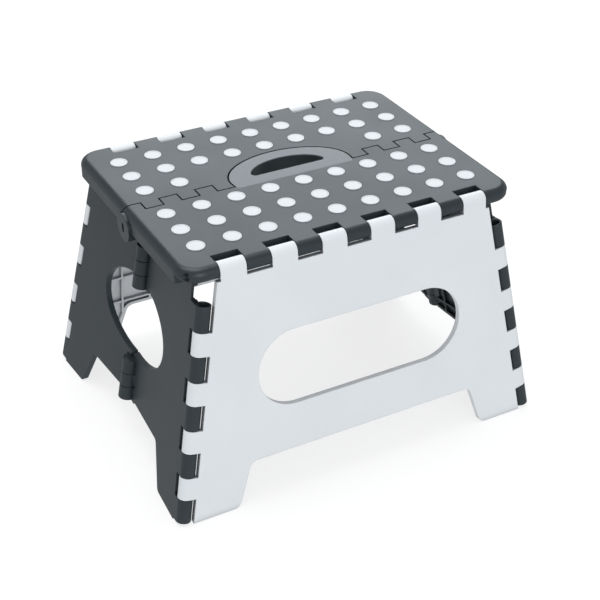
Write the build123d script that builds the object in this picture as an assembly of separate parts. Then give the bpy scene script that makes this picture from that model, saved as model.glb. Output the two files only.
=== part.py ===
from build123d import *
import os
from math import atan, cos, sin

# Folding step stool. Millimetres, +Z up, origin on the floor under the middle of the stool.
# X runs along the stool, -Y is its front. Each long side is one panel, each short side is two
# half panels that fold inwards, and the standing surface is two halves that fold about the middle.

# Overall form
stool_height = 180.0        # floor to the standing surface
top_length = 248.5          # standing surface along X
top_depth = 185.0           # standing surface along Y
foot_half_length = 138.2    # corner hinge axes from the middle at the floor, along X
foot_half_depth = 107.5     # corner hinge axes from the middle at the floor, along Y
side_lean = 0.183           # how far the ends lean inwards for each millimetre of height
end_hinge_inset = 0.5       # end hinges stand this much inside the corner axes at the floor

# Plates and ribs
top_thickness = 13.0        # standing surface down to the fold axis
top_skin = 3.0
panel_thickness = 4.0
panel_gap = 0.8             # long panel's top edge below the edge hinge barrels
panel_skin = 1.8
rim_wall = 2.6
rib_wall = 1.6
rib_pitch = 23.0
top_corner_radius = 16.0
top_edge_radius = 5.3
top_lower_radius = 4.9
front_band_depth = 13.0     # outer edge of each top half, thinned to the hinge barrels

# Hinges
barrel_radius = 5.2         # edge and corner hinges
edge_pin_radius = 1.5
corner_pin_radius = 1.5
fold_barrel_radius = 5.0
fold_ear_radius = 10.0
fold_ear_width = 5.0
fold_ear_proud = 1.6
fold_pin_radius = 2.0
ear_slot_width = 3.2        # slot over the fold pin's end
ear_slot_height = 6.8
ear_slot_depth = 2.0
end_barrel_radius = 6.0
end_pin_radius = 0.8
end_pin_proud = 1.0         # end hinge axis beyond the half panels' outer faces at mid height
bore_clearance = 0.05
side_gap = 0.5              # between neighbouring knuckles
swing_gap = 0.5             # round a barrel that turns past a plate
fold_gap = 0.3              # underside of each top half above the fold axis
finger_gap = 0.9            # between neighbouring fingers of the fold line
seam_gap = 0.9              # between the two top halves

# Edge hinge between a top half and a long panel
edge_knuckles = 6
edge_pitch = 36.0
edge_slot_width = 19.0
edge_slot_depth = 14.0
edge_bore_mouth = 3.0
edge_bore_mouth_depth = 6.0

# Corner hinges
corner_knuckles = 9
corner_row_drop = 25.9      # standing surface down to the top of the row
corner_row_low = 1.0
corner_length_ratio = 1.06  # an end half's knuckle over a long panel's knuckle
corner_cup_radius = 3.8
corner_cup_depth = 6.0

# Hinges in the middle of each end, two groups of three knuckles
end_knuckle = 10.6
upper_group_top = 149.9
lower_group_top = 61.9
end_seam = 1.0              # each half panel's edge from the middle plane
end_swing_gap = 2.3         # the open pivots need more room than a closed hinge
end_panel_drop = 15.0       # standing surface down to the top edge of the half panels
open_bore_radius = 3.25     # clearance bore of the upper open pivot
open_bore_shift = 1.65      # its offset, both towards the other half and outwards
lower_bore_radius = 2.3     # clearance bore of the lower open pivot

# Fingers of the fold line and the carrying handle
fingers_per_side = 6
front_finger_reach = 3.2
rear_finger_reach = 5.0
handle_half_length = 45.8
handle_reach = 29.3
handle_gap = 1.1
hand_hole_half_length = 28.8
hand_hole_front = 2.5
hand_hole_reach = 19.3
hand_hole_corner = 3.0
fold_wall = 12.0            # solid strip beside the fold line

# Openings and feet
slot_half_length = 78.2
slot_low = 66.2
slot_high = 121.6
arch_height = 32.0
arch_top_half = 87.5
arch_foot_half = 98.0
arch_corner = 6.0
foot_corner = 7.0
end_arch_height = 32.0
end_arch_top_half = 57.0
end_arch_foot_half = 71.0
end_arch_corner = 4.0
end_foot_corner = 4.0
oval_middle = 94.5
oval_half_height = 29.0
oval_half_width = 50.0

# Grip dots
dot_radius = 6.1
dot_seat = 0.8
dot_proud = 0.5
dot_rim = 0.9
dot_dish = 0.25
dot_gap = 0.05
dot_edge_radius = 0.3
dot_columns = 9
dot_rows = 3
dot_pitch_x = 25.5
dot_pitch_y = 22.8
dot_first_row = 17.7

# Places that follow from the sizes
edge_y = top_depth / 2 - barrel_radius
edge_z = stool_height - barrel_radius
fold_z = stool_height - top_thickness
panel_slope = (foot_half_depth - edge_y) / edge_z
apex_z = edge_z + edge_y / panel_slope
panel_tilt = atan(panel_slope)
half_length = top_length / 2
plate_reach = barrel_radius + swing_gap
plate_inner = barrel_radius - panel_thickness
finger_pitch = (half_length - handle_half_length) / fingers_per_side
end_top = stool_height - end_panel_drop
corner_row_top = stool_height - corner_row_drop
floor_cut = 0.8             # the tilted feet are cut level this far up their outlines
beyond = 400.0              # longer than the stool, for cutting tools

# The hinge axes of the right end meet at one point high above the middle plane, and those of the
# left end at its mirror image, so each end folds without twisting
apex = Vector(foot_half_length - side_lean * apex_z, 0, apex_z)
corner_foot = Vector(foot_half_length, -foot_half_depth, 0)
corner_axis = (apex - corner_foot).normalized()
middle_foot = Vector(foot_half_length - end_hinge_inset, 0, 0)
middle_axis = (apex - middle_foot).normalized()
panel_normal = Vector(0, -cos(panel_tilt), sin(panel_tilt))
panel_frame = Plane(origin=(0, -edge_y, edge_z), x_dir=(1, 0, 0), z_dir=panel_normal)
panel_corner_frame = Plane(corner_foot, x_dir=corner_axis.cross(panel_normal), z_dir=panel_normal)


def end_frames():
    """Frame of the right front half panel, and the frame of its middle hinge."""
    flat_normal = corner_axis.cross(middle_axis).normalized()
    flat_across = corner_axis.cross(flat_normal)
    half_width = foot_half_depth * (1 - stool_height / 2 / apex_z)
    lean = atan((barrel_radius + end_pin_proud) / half_width)
    normal = flat_normal * cos(lean) + flat_across * sin(lean)
    across = flat_across * cos(lean) - flat_normal * sin(lean)
    hinge_normal = (normal - middle_axis * normal.dot(middle_axis)).normalized()
    hinge_across = middle_axis.cross(hinge_normal)
    plate = Plane(corner_foot, x_dir=across, z_dir=normal)
    hinge = Plane(middle_foot, x_dir=hinge_across, z_dir=hinge_normal)
    return plate, hinge


end_frame, middle_frame = end_frames()


def along_x(profile, low, high):
    """Extrude a profile drawn in Y and Z from low to high along X."""
    return extrude(Plane.YZ.offset(low) * profile, amount=high - low)


def along_y(profile, low, high):
    """Extrude a profile drawn in X and Z from low to high along Y."""
    base = Plane(origin=(0, low, 0), x_dir=(1, 0, 0), z_dir=(0, -1, 0))
    return extrude(base * profile, amount=low - high)


def along_z(profile, low, high):
    return extrude(Plane.XY.offset(low) * profile, amount=high - low)


def block(x_low, x_high, y_low, y_high, z_low, z_high):
    middle = ((x_low + x_high) / 2, (y_low + y_high) / 2, (z_low + z_high) / 2)
    return Pos(*middle) * Box(x_high - x_low, y_high - y_low, z_high - z_low)


def both_sides(shape):
    return shape + mirror(shape, Plane.YZ)


def half_turn(shape):
    return Rot(0, 0, 180) * shape


def corner_spans():
    """Heights of the corner knuckles, the end halves' own first and every second one."""
    row = corner_row_top - corner_row_low
    panels_own = corner_knuckles // 2
    panel_length = row / (panels_own + (panels_own + 1) * corner_length_ratio)
    lengths = [panel_length * corner_length_ratio, panel_length]
    spans = []
    low = corner_row_low
    for index in range(corner_knuckles):
        high = low + lengths[index % 2]
        spans.append((low, high))
        low = high
    return spans


def middle_spans():
    """Heights of the six knuckles of an end's middle hinge, from the top down."""
    spans = []
    for group_top in (upper_group_top, lower_group_top):
        for index in range(3):
            high = group_top - index * end_knuckle
            spans.append((high - end_knuckle, high))
    return spans


def knuckle_profile(radius, web_end, web_low, web_high):
    """Round barrel with a flat web that joins it to its plate."""
    web = Pos(web_end / 2, (web_low + web_high) / 2) * Rectangle(abs(web_end), web_high - web_low)
    return Circle(radius) + web


def knuckles(frame, axis, spans, profile):
    """One knuckle for each span of heights, along the frame's Y axis."""
    row = [along_y(profile, (low + side_gap / 2) / axis.Z, (high - side_gap / 2) / axis.Z)
           for low, high in spans]
    return frame * Part(children=[Part() + piece for piece in row])


def rod(frame, axis, low, high, radius, shift=0.0):
    """Round bar along the frame's Y axis between two heights."""
    return frame * along_y(Pos(shift, shift) * Circle(radius), low / axis.Z, high / axis.Z)


def joined(base, pieces):
    for piece in pieces:
        base += piece
    return base


def cut(base, tools):
    for tool in tools:
        base -= tool
    return base


# Standing surface

def finger_span(index):
    low = handle_half_length + index * finger_pitch
    return low, low + finger_pitch


def edge_slots():
    first = -(edge_knuckles - 1) / 2 * edge_pitch
    return [first + index * edge_pitch for index in range(edge_knuckles)]


def top_blank(reach):
    """Plate of one half with its rounded rim, from the outer edge to the ends of its fingers."""
    front = -top_depth / 2
    blank = block(-half_length, half_length, front, reach, fold_z + fold_gap, stool_height)
    blank -= block(-half_length, half_length, front, front + front_band_depth, 0, edge_z - barrel_radius)
    blank = fillet(blank.edges().filter_by(Axis.Z).group_by(Axis.Y)[0], top_corner_radius)
    rim = [edge for edge in blank.faces().sort_by(Axis.Z)[-1].edges() if edge.center().Y < reach - 1]
    blank = fillet(rim, top_edge_radius)
    lower = [edge for edge in blank.edges().filter_by(Axis.X).group_by(Axis.Y)[0] if edge.center().Z < edge_z]
    return fillet(lower, top_lower_radius)


def top_pocket(keep_clear):
    """Hollow under one half, with its grid of ribs left standing."""
    wall = rim_wall + top_edge_radius / 4
    back = top_depth / 2 - edge_slot_depth - rim_wall
    low = fold_z - 1
    high = stool_height - top_skin
    pocket = block(-half_length + wall, half_length - wall, -back, -fold_wall, low, high)
    corner = top_corner_radius - wall
    pocket = fillet(pocket.edges().filter_by(Axis.Z).group_by(Axis.Y)[0], corner)
    if keep_clear:
        wall_outline = Ellipse(handle_half_length + handle_gap + rim_wall, keep_clear)
        pocket -= along_z(wall_outline, low, high)
    ribs = []
    for index in range(-5, 6):
        middle = index * rib_pitch
        ribs.append(block(middle - rib_wall / 2, middle + rib_wall / 2, -back, 0, low, high))
    for index in range(1, 3):
        middle = -fold_wall - index * (back - fold_wall) / 3
        ribs.append(block(-half_length, half_length, middle - rib_wall / 2, middle + rib_wall / 2, low, high))
    return cut(pocket, ribs)


def fold_barrels(spans, radius, grow):
    """Barrels about the fold axis over the given spans, on both sides of the handle."""
    tools = []
    for low, high in spans:
        barrel = along_x(Pos(0, fold_z) * Circle(radius), low + finger_gap / 2 - grow, high - finger_gap / 2 + grow)
        tools.append(both_sides(barrel))
    return tools


def finger_gaps(spans, edge):
    """Room for the other half's fingers."""
    tools = []
    for low, high in spans:
        gap = block(low - finger_gap / 2, high + finger_gap / 2, edge, edge + beyond, 0, beyond)
        tools.append(both_sides(gap))
    return tools


def dot_places(skip_handle):
    places = []
    for row in range(dot_rows):
        for column in range(dot_columns):
            x = (column - (dot_columns - 1) / 2) * dot_pitch_x
            over_handle = abs(x) < handle_half_length + 2 * dot_radius
            if skip_handle and row == 0 and over_handle:
                continue
            places.append((x, -dot_first_row - row * dot_pitch_y))
    return places


def dot_seats(places):
    seat = along_z(Circle(dot_radius + dot_gap), stool_height - dot_seat, stool_height + 1)
    return [Pos(x, y, 0) * seat for x, y in places]


def grip_dots(places):
    """Low discs with a raised rim, set into seats in the standing surface."""
    low = stool_height - dot_seat
    high = stool_height + dot_proud
    disc = along_z(Circle(dot_radius), low, high)
    disc = fillet(disc.edges().sort_by(Axis.Z)[-1], dot_edge_radius)
    disc -= along_z(Circle(dot_radius - dot_rim), high - dot_dish, high + 1)
    return Compound(children=[Pos(x, y, 0) * disc for x, y in places])


def cut_edge_hinge(half):
    """Slots for the panel's knuckles, the pin's bore and its open mouths."""
    back = -top_depth / 2 + edge_slot_depth
    for middle in edge_slots():
        low = middle - edge_slot_width / 2
        half -= block(low, low + edge_slot_width, -beyond, back, 0, beyond)
    axis = Pos(-edge_y, edge_z)
    half -= along_x(axis * Circle(edge_pin_radius + bore_clearance), -half_length, half_length)
    mouth = along_x(axis * Circle(edge_bore_mouth), half_length - edge_bore_mouth_depth, half_length)
    return half - both_sides(mouth)


def all_finger_spans(first):
    return [finger_span(index) for index in range(first, fingers_per_side, 2)]


def fold_bore():
    bore = along_x(Pos(0, fold_z) * Circle(fold_pin_radius + bore_clearance), handle_half_length, half_length)
    return both_sides(bore)


def hand_hole():
    """D-shaped hole: a straight front and an elliptical back with eased corners."""
    outline = Pos(0, hand_hole_front) * Ellipse(hand_hole_half_length, hand_hole_reach - hand_hole_front)
    outline &= Pos(0, hand_hole_front + beyond / 2) * Rectangle(beyond, beyond)
    outline = fillet(outline.vertices(), hand_hole_corner)
    return along_z(outline, 0, beyond)


def handle_block():
    outline = Ellipse(handle_half_length, handle_reach) & Pos(0, beyond / 2 - fold_wall) * Rectangle(beyond, beyond)
    return along_z(outline, fold_z + fold_gap, stool_height)


def ear(radius, grow):
    low = half_length - fold_ear_width - grow
    return both_sides(along_x(Pos(0, fold_z) * Circle(radius), low, half_length + fold_ear_proud + grow))


def ear_slots():
    outline = Pos(0, fold_z) * RectangleRounded(ear_slot_width, ear_slot_height, ear_slot_width / 2 - 0.01)
    end = half_length + fold_ear_proud
    return both_sides(along_x(outline, end - ear_slot_depth, end + 1))


def top_front_half():
    own = all_finger_spans(1)
    other = all_finger_spans(0)
    half = top_blank(front_finger_reach)
    half = cut(half, finger_gaps(other, -rear_finger_reach - seam_gap))
    half = joined(half, [handle_block(), *fold_barrels(own, fold_barrel_radius, 0)])
    half += ear(fold_ear_radius, 0)
    half = cut(half, fold_barrels(other, fold_barrel_radius + swing_gap, finger_gap))
    half -= top_pocket(0)
    half -= ear_slots()
    half = cut(half, [fold_bore(), hand_hole(), *dot_seats(dot_places(False))])
    return cut_edge_hinge(half)


def top_rear_half():
    own = all_finger_spans(0)
    other = all_finger_spans(1)
    edge = -front_finger_reach - seam_gap
    half = top_blank(rear_finger_reach)
    half = cut(half, finger_gaps(other, edge))
    notch = Ellipse(handle_half_length + handle_gap, handle_reach + handle_gap)
    inner = handle_half_length + side_gap
    half = cut(half, [along_z(notch, 0, beyond), block(-inner, inner, edge, beyond, 0, beyond)])
    half = joined(half, fold_barrels(own, fold_barrel_radius, 0))
    half = cut(half, fold_barrels(other, fold_barrel_radius + swing_gap, finger_gap))
    half -= ear(fold_ear_radius + swing_gap, side_gap)
    half -= top_pocket(handle_reach + handle_gap + rim_wall)
    half = cut(half, [fold_bore(), *dot_seats(dot_places(True))])
    return half_turn(cut_edge_hinge(half))


# Long panels

def panel_height(z):
    """Distance along the sloping panel, from the edge hinge axis to height z."""
    return (z - edge_z) / cos(panel_tilt)


def panel_side(z, inset):
    return foot_half_length - side_lean * z - plate_reach - inset


def panel_outline(inset):
    """Outer shape of a long panel with its two feet and the arch between them."""
    top = edge_z - (barrel_radius + panel_gap) - inset
    foot = inset - floor_cut
    arch = arch_height + inset
    splay = (arch_foot_half - arch_top_half) / arch_height
    arch_top = arch_top_half + inset
    foot_inner = arch_top + splay * (arch - foot)
    right = [(arch_top, arch), (foot_inner, foot), (panel_side(foot, inset), foot), (panel_side(top, inset), top)]
    right = [(x, panel_height(z)) for x, z in right]
    left = [(-x, z) for x, z in reversed(right)]
    outline = make_face(Polyline(*right, *left, close=True))
    feet = [corner for corner in outline.vertices().group_by(Axis.Y)[0] if abs(corner.X) < foot_inner + 1]
    outline = fillet(feet, foot_corner - inset)
    arch_corners = [corner for corner in outline.vertices() if abs(corner.Y - panel_height(arch)) < 0.1]
    return fillet(arch_corners, arch_corner + inset)


def panel_slot(inset):
    height = (slot_high - slot_low) / cos(panel_tilt) - 2 * inset
    middle = panel_height((slot_high + slot_low) / 2)
    return Pos(0, middle) * RectangleRounded(2 * (slot_half_length - inset), height, height / 2 - 0.01)


def panel_layer(inset, low, high):
    """Slab of the long panel between two depths, shrunk inwards by inset."""
    slab = extrude(panel_outline(inset), amount=high - low)
    slab -= extrude(panel_slot(-inset), amount=high - low)
    return panel_frame * Pos(0, 0, low) * slab


def panel_ribs(low, high):
    top = 0.0
    bottom = panel_height(0)
    ribs = []
    for index in range(-6, 7):
        middle = index * rib_pitch
        ribs.append(block(middle - rib_wall / 2, middle + rib_wall / 2, bottom, top, low, high))
    for index in range(1, 8):
        middle = top - index * rib_pitch
        span = foot_half_length
        ribs.append(block(-span, span, middle - rib_wall / 2, middle + rib_wall / 2, low, high))
    return [panel_frame * rib for rib in ribs]


def front_panel():
    panel = panel_layer(0, plate_inner, barrel_radius)
    pocket = cut(panel_layer(rim_wall, plate_inner - 1, barrel_radius - panel_skin),
                 panel_ribs(plate_inner - 2, barrel_radius))
    panel -= pocket
    reach = barrel_radius + panel_gap + 1
    web = Pos(-reach / 2, (plate_inner + barrel_radius) / 2) * Rectangle(reach, panel_thickness)
    profile = Circle(barrel_radius) + web
    hinge_frame = Plane(origin=(0, -edge_y, edge_z), x_dir=panel_frame.y_dir, z_dir=(1, 0, 0))
    width = edge_slot_width - 2 * side_gap
    for middle in edge_slots():
        start = hinge_frame.offset(middle - width / 2)
        panel += extrude(start * profile, amount=width)
    own = corner_spans()[1::2]
    corner = knuckle_profile(barrel_radius, -plate_reach - 1, plate_inner, barrel_radius)
    panel += both_sides(knuckles(panel_corner_frame, corner_axis, own, corner))
    panel = panel & block(-beyond, beyond, -beyond, beyond, 0, beyond)
    bore = along_x(Pos(-edge_y, edge_z) * Circle(edge_pin_radius + bore_clearance), -half_length, half_length)
    return cut(panel, [bore, both_sides(corner_bore())])


def corner_bore():
    return rod(panel_corner_frame, corner_axis, 0, corner_row_top + 5, corner_pin_radius + bore_clearance)


# End half panels

def end_layer(inset, low, high):
    """Slab of the right front half panel between two depths, shrunk inwards by inset."""
    slab = block(plate_reach + inset, foot_half_depth + 20, -30, stool_height + 20, low, high)
    slab = end_frame * slab
    room = block(-beyond, beyond, -beyond, -end_seam - inset, inset, end_top - inset)
    slab = slab & room
    oval = Pos(0, oval_middle) * Ellipse(oval_half_width + inset, oval_half_height + inset)
    slab -= along_x(oval, 0, beyond)
    return slab - along_x(end_arch(inset), 0, beyond)


def end_arch(inset):
    arch = end_arch_height + inset
    splay = (end_arch_foot_half - end_arch_top_half) / end_arch_height
    top = end_arch_top_half + inset
    foot = top + splay * (arch - inset)
    wide = foot + 3 * end_foot_corner
    right = [(top, arch), (foot, inset), (wide, inset), (wide, -10)]
    left = [(-x, z) for x, z in reversed(right)]
    outline = make_face(Polyline(*right, *left, close=True))
    outline = fillet(outline.vertices().group_by(Axis.Y)[-1], end_arch_corner + inset)
    feet = [corner for corner in outline.vertices() if abs(abs(corner.X) - foot) < 0.1]
    return fillet(feet, end_foot_corner - inset / 2)


def end_ribs(low, high):
    ribs = []
    for index in range(1, 6):
        middle = index * rib_pitch * 0.9
        ribs.append(block(middle - rib_wall / 2, middle + rib_wall / 2, -30, stool_height + 20, low, high))
    for index in range(0, 9):
        middle = index * rib_pitch * 0.9 + rib_pitch / 2
        ribs.append(block(0, foot_half_depth + 20, middle - rib_wall / 2, middle + rib_wall / 2, low, high))
    return [end_frame * rib for rib in ribs]


def end_half(carries_pins):
    """Half panel at the right front. The half that carries the pins has the outer knuckles."""
    half = end_layer(0, plate_inner, barrel_radius)
    pocket = cut(end_layer(rim_wall, plate_inner - 1, barrel_radius - panel_skin),
                 end_ribs(plate_inner - 2, barrel_radius))
    half -= pocket
    spans = middle_spans()
    own = [span for index, span in enumerate(spans) if (index % 3 != 1) == carries_pins]
    other = [span for span in spans if span not in own]
    room = end_barrel_radius + end_swing_gap
    for low, high in other:
        ends = (low - side_gap / 2) / middle_axis.Z, (high + side_gap / 2) / middle_axis.Z
        half -= middle_frame * block(-room, room, *ends, -3 * barrel_radius, 3 * barrel_radius)
    for low, high in own:
        pad = (low + side_gap / 2) / middle_axis.Z, (high - side_gap / 2) / middle_axis.Z
        half -= middle_frame * block(-room, room, *pad, -3 * barrel_radius, 3 * barrel_radius)
    web = knuckle_profile(end_barrel_radius, -room - rim_wall, -panel_thickness - 0.3, -end_pin_proud - 0.4)
    half += knuckles(middle_frame, middle_axis, own, web)
    top_notch = block(0, plate_reach + rim_wall, corner_row_top / corner_axis.Z, beyond, -beyond, beyond)
    half -= end_frame * top_notch
    half -= along_x(Pos(0, fold_z) * Circle(fold_barrel_radius + 2 * swing_gap), 0, beyond)
    corner = knuckle_profile(barrel_radius, plate_reach + 1, plate_inner, barrel_radius)
    half += knuckles(end_frame, corner_axis, corner_spans()[0::2], corner)
    half = half & block(-beyond, beyond, -beyond, beyond, 0, beyond)
    cup = rod(panel_corner_frame, corner_axis, corner_row_top - corner_cup_depth, corner_row_top + 5, corner_cup_radius)
    half = cut(half, [corner_bore(), cup])
    if carries_pins:
        return half - rod(middle_frame, middle_axis, 0, stool_height, end_pin_radius + bore_clearance)
    split = (upper_group_top + lower_group_top) / 2
    half -= rod(middle_frame, middle_axis, split, stool_height, open_bore_radius, open_bore_shift)
    return half - rod(middle_frame, middle_axis, 0, split, lower_bore_radius)


# Pins

def edge_pin():
    reach = half_length - edge_bore_mouth_depth
    return along_x(Pos(-edge_y, edge_z) * Circle(edge_pin_radius), -reach, reach)


def fold_pin():
    low = handle_half_length + 2 * side_gap
    return along_x(Pos(0, fold_z) * Circle(fold_pin_radius), low, half_length - 2 * side_gap)


def corner_pin():
    low = corner_row_low + 3 * side_gap
    return rod(panel_corner_frame, corner_axis, low, corner_row_top - corner_cup_depth, corner_pin_radius)


def end_pin(group_top):
    low = group_top - 3 * end_knuckle + 2 * side_gap
    return rod(middle_frame, middle_axis, low, group_top - 2 * side_gap, end_pin_radius)


def pieces():
    """Every piece by name. A part at the left rear is the right front one turned half round."""
    panel = front_panel()
    outer_half = end_half(True)
    inner_half = end_half(False)
    left_outer = mirror(outer_half, Plane.YZ)
    corner = corner_pin()
    left_corner = mirror(corner, Plane.YZ)
    upper_pin = mirror(end_pin(upper_group_top), Plane.YZ)
    lower_pin = mirror(end_pin(lower_group_top), Plane.YZ)
    return {
        "top_front_half": top_front_half(),
        "top_rear_half": top_rear_half(),
        "front_panel": panel,
        "rear_panel": half_turn(panel),
        "left_front_end": left_outer,
        "right_rear_end": half_turn(left_outer),
        "right_front_end": inner_half,
        "left_rear_end": half_turn(inner_half),
        "front_edge_pin": edge_pin(),
        "rear_edge_pin": half_turn(edge_pin()),
        "right_fold_pin": fold_pin(),
        "left_fold_pin": mirror(fold_pin(), Plane.YZ),
        "right_front_corner_pin": corner,
        "left_front_corner_pin": left_corner,
        "left_rear_corner_pin": half_turn(corner),
        "right_rear_corner_pin": half_turn(left_corner),
        "left_upper_end_pin": upper_pin,
        "left_lower_end_pin": lower_pin,
        "right_upper_end_pin": half_turn(upper_pin),
        "right_lower_end_pin": half_turn(lower_pin),
        "front_grip_dots": grip_dots(dot_places(False)),
        "rear_grip_dots": half_turn(grip_dots(dot_places(True))),
    }


os.makedirs("parts", exist_ok=True)
for name, shape in pieces().items():
    export_step(shape, f"parts/{name}.step")
    print(name, len(shape.solids()), round(shape.volume / 1000, 2), "cm3")
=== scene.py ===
import math
import bpy
from mathutils import Matrix, Vector


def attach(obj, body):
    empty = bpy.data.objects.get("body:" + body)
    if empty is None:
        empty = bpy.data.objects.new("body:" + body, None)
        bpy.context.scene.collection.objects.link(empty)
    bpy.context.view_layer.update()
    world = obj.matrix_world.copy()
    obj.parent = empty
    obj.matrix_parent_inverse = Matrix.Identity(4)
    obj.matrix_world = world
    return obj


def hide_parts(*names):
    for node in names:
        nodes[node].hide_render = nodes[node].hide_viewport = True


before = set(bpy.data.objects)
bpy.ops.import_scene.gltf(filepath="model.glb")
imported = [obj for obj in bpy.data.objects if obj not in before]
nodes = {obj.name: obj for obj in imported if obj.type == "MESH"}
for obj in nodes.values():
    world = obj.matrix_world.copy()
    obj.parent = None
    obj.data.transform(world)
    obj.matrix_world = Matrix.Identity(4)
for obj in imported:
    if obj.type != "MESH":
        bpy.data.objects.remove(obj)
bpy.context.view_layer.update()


view = {
    "lens": 79.5,                          # millimetres
    "sensor": 36,
    "near": 0.01,
    "far": 50,
    "place": (-0.3894, -0.7167, 0.6070),
    "azimuth": -29.02,                     # degrees, 0 looks along +Y
    "elevation": 33.28,
    "roll": 0.73,
}


def addCamera(v):
    az, el, roll = (math.radians(v[k]) for k in ("azimuth", "elevation", "roll"))
    back = Vector((math.sin(az) * math.cos(el), -math.cos(az) * math.cos(el), math.sin(el)))
    right = Vector((math.cos(az), math.sin(az), 0))
    up = back.cross(right)
    side = right * math.cos(roll) + up * math.sin(roll)
    top = up * math.cos(roll) - right * math.sin(roll)
    lens = bpy.data.cameras.new("camera")
    lens.lens, lens.sensor_width = v["lens"], v["sensor"]
    lens.clip_start, lens.clip_end = v["near"], v["far"]
    camera = bpy.data.objects.new("camera", lens)
    turn = Matrix((side, top, back)).transposed().to_4x4()
    camera.matrix_world = Matrix.Translation(v["place"]) @ turn
    bpy.context.scene.collection.objects.link(camera)
    bpy.context.scene.camera = camera


addCamera(view)
print("camera placed")


# inputs and outputs are (name, socket type, default or None)
def newGroup(name, kind, inputs, outputs):
    group = bpy.data.node_groups.new(name, kind)
    for direction, sockets in (("INPUT", inputs), ("OUTPUT", outputs)):
        for label, socketType, default in sockets:
            made = group.interface.new_socket(label, in_out=direction, socket_type=socketType)
            if default is not None:
                made.default_value = default
    return group, group.nodes.new("NodeGroupInput"), group.nodes.new("NodeGroupOutput")


# adds nodes by type, sets their sockets by name or number and links them
class Tree:
    def __init__(self, tree):
        self.tree = tree

    def add(self, kind, settings=None, **sockets):
        node = self.tree.nodes.new(kind)
        for key, value in (settings or {}).items():
            setattr(node, key, value)
        for key, value in sockets.items():
            byNumber = key[0] == "i" and key[1:].isdigit()
            self.put(node, int(key[1:]) if byNumber else key.replace("_", " "), value)
        return node

    def put(self, node, key, value):
        if isinstance(value, bpy.types.NodeSocket):
            self.tree.links.new(value, node.inputs[key])
        else:
            node.inputs[key].default_value = value

    def math(self, operation, a, b=0.0, c=None, clamp=False):
        node = self.add("ShaderNodeMath", {"operation": operation, "use_clamp": clamp}, i0=a, i1=b)
        if c is not None:
            self.put(node, 2, c)
        return node.outputs[0]

    def remap(self, value, low, high, outLow=0.0, outHigh=1.0):
        node = self.add("ShaderNodeMapRange", {"interpolation_type": "SMOOTHSTEP"},
                        i0=value, i1=low, i2=high, i3=outLow, i4=outHigh)
        return node.outputs[0]


# fine spark-eroded grain and slow tone changes of a moulded surface
def buildMouldGrain():
    group, start, end = newGroup("mouldGrain", "ShaderNodeTree",
                                 [("Grain Scale", "NodeSocketFloat", 1500.0),
                                  ("Cloud Scale", "NodeSocketFloat", 20.0)],
                                 [("Height", "NodeSocketFloat", None), ("Cloud", "NodeSocketFloat", None)])
    t = Tree(group)
    where = t.add("ShaderNodeTexCoord").outputs["Object"]
    grainScale, cloudScale = start.outputs["Grain Scale"], start.outputs["Cloud Scale"]
    fine = t.add("ShaderNodeTexNoise", Vector=where, Scale=grainScale, Detail=3.0, Roughness=0.6)
    pits = t.add("ShaderNodeTexVoronoi", {"feature": "SMOOTH_F1"}, Vector=where, Scale=grainScale)
    cloud = t.add("ShaderNodeTexNoise", Vector=where, Scale=cloudScale, Detail=4.0, Roughness=0.5)
    mixed = t.math("MULTIPLY_ADD", pits.outputs["Distance"], 0.5, fine.outputs[0])
    group.links.new(mixed, end.inputs["Height"])
    group.links.new(t.remap(cloud.outputs[0], 0.3, 0.7), end.inputs["Cloud"])
    return group


# a rounded normal at the edges, and a broken mask where they are made lighter, partly rubbed wear and partly
# a painted edge highlight
def buildEdgeRubAndHighlight():
    group, start, end = newGroup("edgeRubAndHighlight", "ShaderNodeTree",
                                 [("Radius", "NodeSocketFloat", 0.0006),
                                  ("Breakup", "NodeSocketFloat", 160.0)],
                                 [("Mask", "NodeSocketFloat", None), ("Normal", "NodeSocketVector", None)])
    t = Tree(group)
    where = t.add("ShaderNodeTexCoord").outputs["Object"]
    bevel = t.add("ShaderNodeBevel", {"samples": 4}, Radius=start.outputs["Radius"])
    flat = t.add("ShaderNodeNewGeometry").outputs["Normal"]
    facing = t.add("ShaderNodeVectorMath", {"operation": "DOT_PRODUCT"}, i0=bevel.outputs[0], i1=flat)
    edge = t.remap(facing.outputs["Value"], 0.995, 0.80)
    patchy = t.add("ShaderNodeTexNoise", Vector=where, Scale=start.outputs["Breakup"],
                   Detail=5.0, Roughness=0.65)
    mask = t.math("MULTIPLY", edge, t.remap(patchy.outputs[0], 0.42, 0.62))
    group.links.new(mask, end.inputs["Mask"])
    group.links.new(bevel.outputs[0], end.inputs["Normal"])
    return group


# short fine handling scratches that run in two directions
def buildHairScuffs():
    group, start, end = newGroup("hairScuffs", "ShaderNodeTree",
                                 [("Density", "NodeSocketFloat", 60.0)], [("Mask", "NodeSocketFloat", None)])
    t = Tree(group)
    where = t.add("ShaderNodeTexCoord").outputs["Object"]
    total = None
    for angle, stretch in ((0.5, (1.0, 14.0, 6.0)), (-0.9, (12.0, 1.0, 5.0))):
        turned = t.add("ShaderNodeMapping", Vector=where, Rotation=(0.2, 0.3, angle), Scale=stretch)
        lines = t.add("ShaderNodeTexNoise", Vector=turned.outputs[0],
                      Scale=start.outputs["Density"], Detail=2.0)
        thin = t.remap(lines.outputs[0], 0.66, 0.72)
        total = thin if total is None else t.math("MAXIMUM", total, thin)
    area = t.add("ShaderNodeTexNoise", Vector=where, Scale=14.0, Detail=2.0)
    kept = t.math("MULTIPLY", total, t.remap(area.outputs[0], 0.48, 0.62))
    group.links.new(kept, end.inputs["Mask"])
    return group
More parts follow.
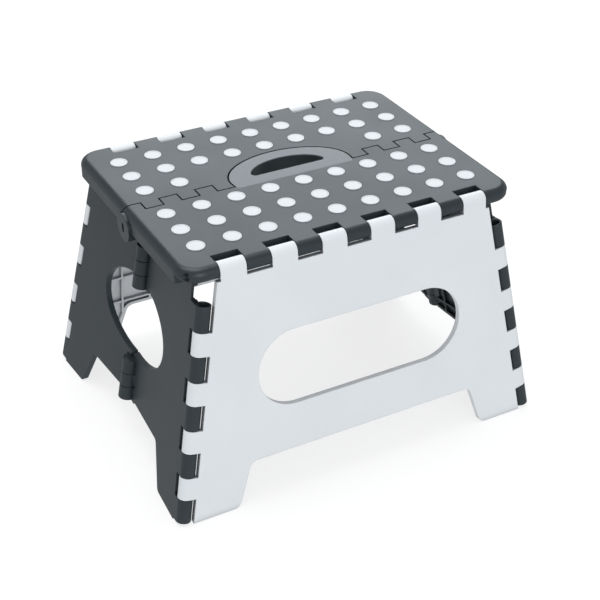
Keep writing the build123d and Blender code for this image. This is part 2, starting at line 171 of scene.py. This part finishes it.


# 1 in the open, falling to 0 in gaps, slots and the corners of ribs, where a painted shade colour is mixed
# in
def buildPaintedGapShade():
    group, start, end = newGroup("paintedGapShade", "ShaderNodeTree",
                                 [("Reach", "NodeSocketFloat", 0.006)], [("Open", "NodeSocketFloat", None)])
    t = Tree(group)
    around = t.add("ShaderNodeAmbientOcclusion", {"samples": 8}, Distance=start.outputs["Reach"])
    group.links.new(t.remap(around.outputs["AO"], 0.15, 0.85), end.inputs["Open"])
    return group


mouldGrain = buildMouldGrain()
edgeRubAndHighlight = buildEdgeRubAndHighlight()
hairScuffs = buildHairScuffs()
paintedGapShade = buildPaintedGapShade()
print("shader groups built")


slate = {
    "colour": (0.0235, 0.0325, 0.0375), "cloudColour": (0.0275, 0.0375, 0.043),
    # edge colour and amount: partly rubbed wear, partly a painted edge highlight
    "wearAndHighlightColour": (0.10, 0.115, 0.125),
    # painted shade colour and its reach, for gaps, slots and rib corners
    "paintedGapShadeColour": (0.010, 0.0125, 0.014), "paintedShadeReach": 0.0035,
    "roughness": 0.33, "roughSpread": 0.08, "grainScale": 1500.0, "grainDepth": 0.00005,
    "edgeRoundRadius": 0.0008, "rubAndHighlightAmount": 0.35, "scuffAmount": 0.10, "specular": 0.5,
}
handleSlate = {                            # the smooth carrying handle in the front half
    "halfLength": 0.0458, "reach": 0.0293, "front": -0.008, "under": 0.1795,
    "colour": (0.118, 0.130, 0.142), "roughness": 0.27,
}
white = {
    "colour": (0.70, 0.73, 0.755), "cloudColour": (0.725, 0.75, 0.77), "wearAndHighlightColour": (0.86, 0.87, 0.88),
    "paintedGapShadeColour": (0.20, 0.215, 0.235), "paintedShadeReach": 0.009,
    "roughness": 0.34, "roughSpread": 0.08, "grainScale": 1300.0, "grainDepth": 0.00003,
    "edgeRoundRadius": 0.0009, "rubAndHighlightAmount": 0.5, "scuffAmount": 0.05, "specular": 0.45,
}
gripWhite = {
    "colour": (0.655, 0.68, 0.705), "cloudColour": (0.68, 0.70, 0.72), "wearAndHighlightColour": (0.88, 0.89, 0.91),
    "paintedGapShadeColour": (0.40, 0.42, 0.45), "paintedShadeReach": 0.0012,
    "roughness": 0.55, "roughSpread": 0.08, "grainScale": 900.0, "grainDepth": 0.00007,
    "edgeRoundRadius": 0.0003, "rubAndHighlightAmount": 0.6, "scuffAmount": 0.08, "specular": 0.35,
}
drawnSteel = {
    # the steel's second colour is a random stain tone
    "colour": (0.50, 0.51, 0.53), "wearAndHighlightColour": (0.30, 0.29, 0.28),
    "roughness": 0.30, "lineScale": 900.0, "lineDepth": 0.00002,
}


# 1 on the handle's flat top, 0 elsewhere
def ellipseMask(t, where, shape):
    parts = t.add("ShaderNodeSeparateXYZ", Vector=where)
    x, y, z = parts.outputs
    u = t.math("DIVIDE", x, shape["halfLength"])
    v = t.math("DIVIDE", y, shape["reach"])
    ring = t.math("ADD", t.math("MULTIPLY", u, u), t.math("MULTIPLY", v, v))
    inside = t.remap(ring, 1.03, 0.99)
    behind = t.remap(y, shape["front"] - 0.0008, shape["front"] + 0.0004)
    above = t.remap(z, shape["under"] - 0.0004, shape["under"] + 0.0002)
    return t.math("MULTIPLY", t.math("MULTIPLY", inside, behind), above)


def mouldedPlastic(name, v, handle=None):
    material = bpy.data.materials.new(name)
    material.use_nodes = True
    material.node_tree.nodes.clear()
    t = Tree(material.node_tree)
    where = t.add("ShaderNodeTexCoord").outputs["Object"]
    grain = t.add("ShaderNodeGroup", {"node_tree": mouldGrain}, Grain_Scale=v["grainScale"])
    edgeRubAndHighlightNode = t.add("ShaderNodeGroup", {"node_tree": edgeRubAndHighlight}, Radius=v["edgeRoundRadius"])
    scuffs = t.add("ShaderNodeGroup", {"node_tree": hairScuffs})
    gaps = t.add("ShaderNodeGroup", {"node_tree": paintedGapShade}, Reach=v["paintedShadeReach"])

    def mix(factor, a, b):
        node = t.add("ShaderNodeMix", {"data_type": "RGBA"})
        t.put(node, 0, factor)
        for key, value in ((6, a), (7, b)):
            t.put(node, key, value if isinstance(value, bpy.types.NodeSocket) else (*value, 1))
        return node.outputs[2]

    colour = mix(grain.outputs["Cloud"], v["colour"], v["cloudColour"])
    smoothest = v["roughness"] - v["roughSpread"] / 2
    rough = t.math("MULTIPLY_ADD", grain.outputs["Cloud"], v["roughSpread"], smoothest)
    if handle:
        mask = ellipseMask(t, where, handle)
        colour = mix(mask, colour, handle["colour"])
        blend = t.add("ShaderNodeMix", {"data_type": "FLOAT"}, i0=mask, i2=rough, i3=handle["roughness"])
        rough = blend.outputs[0]
    # edges are lightened partly as rubbed wear and partly as a painted edge highlight; the hair scuffs are
    # real scratches
    wearAndHighlight = t.math("MULTIPLY", edgeRubAndHighlightNode.outputs["Mask"], v["rubAndHighlightAmount"])
    wearAndHighlight = t.math("MAXIMUM", wearAndHighlight, t.math("MULTIPLY", scuffs.outputs["Mask"], v["scuffAmount"]))
    colour = mix(wearAndHighlight, colour, v["wearAndHighlightColour"])
    # painted shade: gaps, slots and rib corners are darkened towards the painted shade colour
    colour = mix(gaps.outputs["Open"], v["paintedGapShadeColour"], colour)
    rough = t.math("MULTIPLY_ADD", wearAndHighlight, 0.15, rough, clamp=True)
    bump = t.add("ShaderNodeBump", Strength=0.6, Distance=v["grainDepth"],
                 Height=grain.outputs["Height"], Normal=edgeRubAndHighlightNode.outputs["Normal"])
    shader = t.add("ShaderNodeBsdfPrincipled", Base_Color=colour, Roughness=rough,
                   Normal=bump.outputs[0], IOR=1.5)
    t.put(shader, "Specular IOR Level", v["specular"])
    t.add("ShaderNodeOutputMaterial", Surface=shader.outputs[0])
    return material


def steel(name, v):
    material = bpy.data.materials.new(name)
    material.use_nodes = True
    material.node_tree.nodes.clear()
    t = Tree(material.node_tree)
    where = t.add("ShaderNodeTexCoord").outputs["Object"]
    drawn = t.add("ShaderNodeTexNoise", Vector=where, Scale=v["lineScale"], Detail=3.0)
    stain = t.add("ShaderNodeTexNoise", Vector=where, Scale=90.0, Detail=5.0)
    mixed = t.add("ShaderNodeMix", {"data_type": "RGBA"})
    t.put(mixed, 0, t.remap(stain.outputs[0], 0.5, 0.75))
    t.put(mixed, 6, (*v["colour"], 1))
    t.put(mixed, 7, (*v["wearAndHighlightColour"], 1))
    rough = t.math("MULTIPLY_ADD", drawn.outputs[0], 0.2, v["roughness"] - 0.1)
    bump = t.add("ShaderNodeBump", Strength=0.5, Distance=v["lineDepth"], Height=drawn.outputs[0])
    shader = t.add("ShaderNodeBsdfPrincipled", Base_Color=mixed.outputs[2], Roughness=rough,
                   Metallic=1.0, Normal=bump.outputs[0])
    t.add("ShaderNodeOutputMaterial", Surface=shader.outputs[0])
    return material


finishes = {
    "slateTop": mouldedPlastic("slateTop", slate, handleSlate),
    "slateEnd": mouldedPlastic("slateEnd", slate),
    "whitePanel": mouldedPlastic("whitePanel", white),
    "gripWhite": mouldedPlastic("gripWhite", gripWhite),
    "drawnSteel": steel("drawnSteel", drawnSteel),
}


def finishOf(node):
    if node.endswith("_pin"):
        return "drawnSteel"
    if node.endswith("_dots"):
        return "gripWhite"
    if node.endswith("_panel"):
        return "whitePanel"
    return "slateTop" if node.startswith("top_") else "slateEnd"


for name, piece in nodes.items():
    piece.data.materials.clear()
    piece.data.materials.append(finishes[finishOf(name)])
print("finishes set on", len(nodes), "nodes")


gripDots = {
    "Columns": 9, "Rows": 3, "Pitch X": 0.0255, "Pitch Y": 0.0228, "First Row": 0.0177,
    "Radius": 0.0061, "Sides": 56, "Seat": 0.1792, "Handle Clear": 0.058,
}
# each step of a dot from its seat up: rise, then the share of the radius that is left
dotSteps = [(0.0010, 1.0), (0.00020, 0.988), (0.0001, 0.955), (0.0, 0.88), (-0.00012, 0.855),
            (-0.00020, 0.835), (-0.00006, 0.80), (0.00005, 0.45), (0.00002, 0.12)]


# discs with a raised rim on a grid, side is -1 for the front half and 1 for the rear half
def buildDotTree(v):
    inputs = [(name, "NodeSocketInt" if isinstance(value, int) else "NodeSocketFloat", value)
              for name, value in v.items()]
    inputs += [("Side", "NodeSocketFloat", -1.0), ("Skip Handle", "NodeSocketBool", False),
               ("Finish", "NodeSocketMaterial", None)]
    group, start, end = newGroup("gripDotTree", "GeometryNodeTree", inputs,
                                 [("Geometry", "NodeSocketGeometry", None)])
    t = Tree(group)
    given = start.outputs
    disc = t.add("GeometryNodeMeshCircle", {"fill_type": "NGON"}, Vertices=given["Sides"],
                 Radius=given["Radius"])
    under = t.add("GeometryNodeFlipFaces", Mesh=disc.outputs[0])
    mesh, top = disc.outputs[0], True
    left = 1.0
    for rise, share in dotSteps:
        lift = t.add("GeometryNodeExtrudeMesh", {"mode": "FACES"}, Mesh=mesh, Selection=top,
                     Offset_Scale=rise, Individual=False)
        shrink = t.add("GeometryNodeScaleElements", Geometry=lift.outputs["Mesh"],
                       Selection=lift.outputs["Top"], Scale=share / left)
        mesh, top, left = shrink.outputs[0], lift.outputs["Top"], share
    whole = t.add("GeometryNodeJoinGeometry")
    for part in (mesh, under.outputs[0]):
        group.links.new(part, whole.inputs[0])
    dot = t.add("GeometryNodeMergeByDistance", Geometry=whole.outputs[0], Distance=0.000005)
    sizeX = t.math("MULTIPLY", given["Pitch X"], t.math("SUBTRACT", given["Columns"], 1.0))
    sizeY = t.math("MULTIPLY", given["Pitch Y"], t.math("SUBTRACT", given["Rows"], 1.0))
    grid = t.add("GeometryNodeMeshGrid", Size_X=sizeX, Size_Y=sizeY,
                 Vertices_X=given["Columns"], Vertices_Y=given["Rows"])
    middleRow = t.math("ADD", given["First Row"], t.math("MULTIPLY", sizeY, 0.5))
    shift = t.add("ShaderNodeCombineXYZ", Y=t.math("MULTIPLY", middleRow, given["Side"]), Z=given["Seat"])
    placed = t.add("GeometryNodeTransform", Geometry=grid.outputs[0], Translation=shift.outputs[0])
    where = t.add("GeometryNodeInputPosition").outputs[0]
    x, y, _ = t.add("ShaderNodeSeparateXYZ", Vector=where).outputs
    nearHandle = t.math("LESS_THAN", t.math("ABSOLUTE", x), given["Handle Clear"])
    pastFirst = t.math("ADD", given["First Row"], t.math("MULTIPLY", given["Pitch Y"], 0.5))
    inFirst = t.math("LESS_THAN", t.math("ABSOLUTE", y), pastFirst)
    taken = t.math("MULTIPLY", t.math("MULTIPLY", nearHandle, inFirst), given["Skip Handle"])
    kept = t.math("LESS_THAN", taken, 0.5)
    dots = t.add("GeometryNodeInstanceOnPoints", Points=placed.outputs[0], Selection=kept,
                 Instance=dot.outputs[0])
    real = t.add("GeometryNodeRealizeInstances", Geometry=dots.outputs[0])
    done = t.add("GeometryNodeSetMaterial", Geometry=real.outputs[0], Material=given["Finish"])
    group.links.new(done.outputs[0], end.inputs["Geometry"])
    return group


def addGripDots(name, body, node, side, skipHandle):
    maker = bpy.data.objects.new(name + "Maker", bpy.data.meshes.new(name + "Maker"))
    bpy.context.scene.collection.objects.link(maker)
    modifier = maker.modifiers.new("grip dots", "NODES")
    modifier.node_group = dotTree
    sockets = {item.name: item.identifier for item in dotTree.interface.items_tree
               if item.in_out == "INPUT"}
    chosen = {**gripDots, "Side": side, "Skip Handle": skipHandle, "Finish": finishes["gripWhite"]}
    for label, value in chosen.items():
        modifier[sockets[label]] = value
    bpy.context.view_layer.update()
    made = maker.evaluated_get(bpy.context.evaluated_depsgraph_get())
    piece = bpy.data.objects.new(name, bpy.data.meshes.new_from_object(made))
    bpy.context.scene.collection.objects.link(piece)
    bpy.data.objects.remove(maker)
    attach(piece, body)
    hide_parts(node)
    print(name, len(piece.data.polygons), "faces")


dotTree = buildDotTree(gripDots)
addGripDots("frontGripDots", "top_front", "front_grip_dots", -1.0, False)
addGripDots("rearGripDots", "top_rear", "rear_grip_dots", 1.0, True)

studio = {
    "floorColour": (0.27, 0.27, 0.27), "floorGlow": 0.76, "floorSize": 9, "floorDrop": 0.0003,
    "skyUp": 0.62, "skyHorizon": 0.58, "skyDown": 0.45,
    "mirrorUp": 0.20, "mirrorHorizon": 0.42, "mirrorDown": 0.40,
    "overhead": {"power": 13.0, "size": 1.2, "place": (-0.15, 0.25, 1.7)},
    "backPanel": {"power": 14.0, "size": 1.5, "place": (0.85, 1.55, 1.15)},
    "frontFill": {"power": 9.5, "size": 1.1, "place": (-0.3, -1.9, 0.75)},
}


def addFloor(v):
    bpy.ops.mesh.primitive_plane_add(size=v["floorSize"], location=(0, 0, -v["floorDrop"]))
    floor = bpy.context.object
    floor.name = "floor"
    paint = bpy.data.materials.new("floorPaint")
    paint.use_nodes = True
    shader = paint.node_tree.nodes["Principled BSDF"]
    shader.inputs["Base Color"].default_value = (*v["floorColour"], 1)
    shader.inputs["Roughness"].default_value = 0.9
    shader.inputs["Specular IOR Level"].default_value = 0.1
    shader.inputs["Emission Color"].default_value = (1, 1, 1, 1)
    shader.inputs["Emission Strength"].default_value = v["floorGlow"]
    floor.data.materials.append(paint)
    floor.visible_glossy = False


def addSky(v):
    world = bpy.data.worlds.new("studio")
    bpy.context.scene.world = world
    world.use_nodes = True
    world.node_tree.nodes.clear()
    t = Tree(world.node_tree)
    towards = t.add("ShaderNodeTexCoord").outputs["Generated"]
    z = t.add("ShaderNodeSeparateXYZ", Vector=towards).outputs[2]

    def ramp(down, horizon, up):
        low = t.remap(z, -0.35, 0.0, down, horizon)
        return t.math("ADD", low, t.remap(z, 0.0, 0.5, 0.0, up - horizon))

    seen = t.add("ShaderNodeLightPath")
    level = t.add("ShaderNodeMix", {"data_type": "FLOAT"}, i0=seen.outputs["Is Glossy Ray"],
                  i2=ramp(v["skyDown"], v["skyHorizon"], v["skyUp"]),
                  i3=ramp(v["mirrorDown"], v["mirrorHorizon"], v["mirrorUp"])).outputs[0]
    level = t.math("MAXIMUM", level, seen.outputs["Is Camera Ray"])
    sky = t.add("ShaderNodeBackground", Color=(0.975, 0.985, 1.0, 1), Strength=level)
    t.add("ShaderNodeOutputWorld", Surface=sky.outputs[0])


def addPanelLight(name, v, colour=(1, 1, 1)):
    lamp = bpy.data.lights.new(name, "AREA")
    lamp.energy, lamp.size, lamp.color = v["power"], v["size"], colour
    light = bpy.data.objects.new(name, lamp)
    light.location = v["place"]
    light.rotation_euler = (Vector((0, 0, 0.1)) - light.location).to_track_quat("-Z", "Y").to_euler()
    bpy.context.scene.collection.objects.link(light)


addFloor(studio)
addSky(studio)
addPanelLight("overhead", studio["overhead"])
addPanelLight("backPanel", studio["backPanel"], (0.90, 0.96, 1.0))
addPanelLight("frontFill", studio["frontFill"], (0.92, 0.96, 1.0))
bpy.context.scene.view_settings.view_transform = "Standard"
print("floor and lights placed")
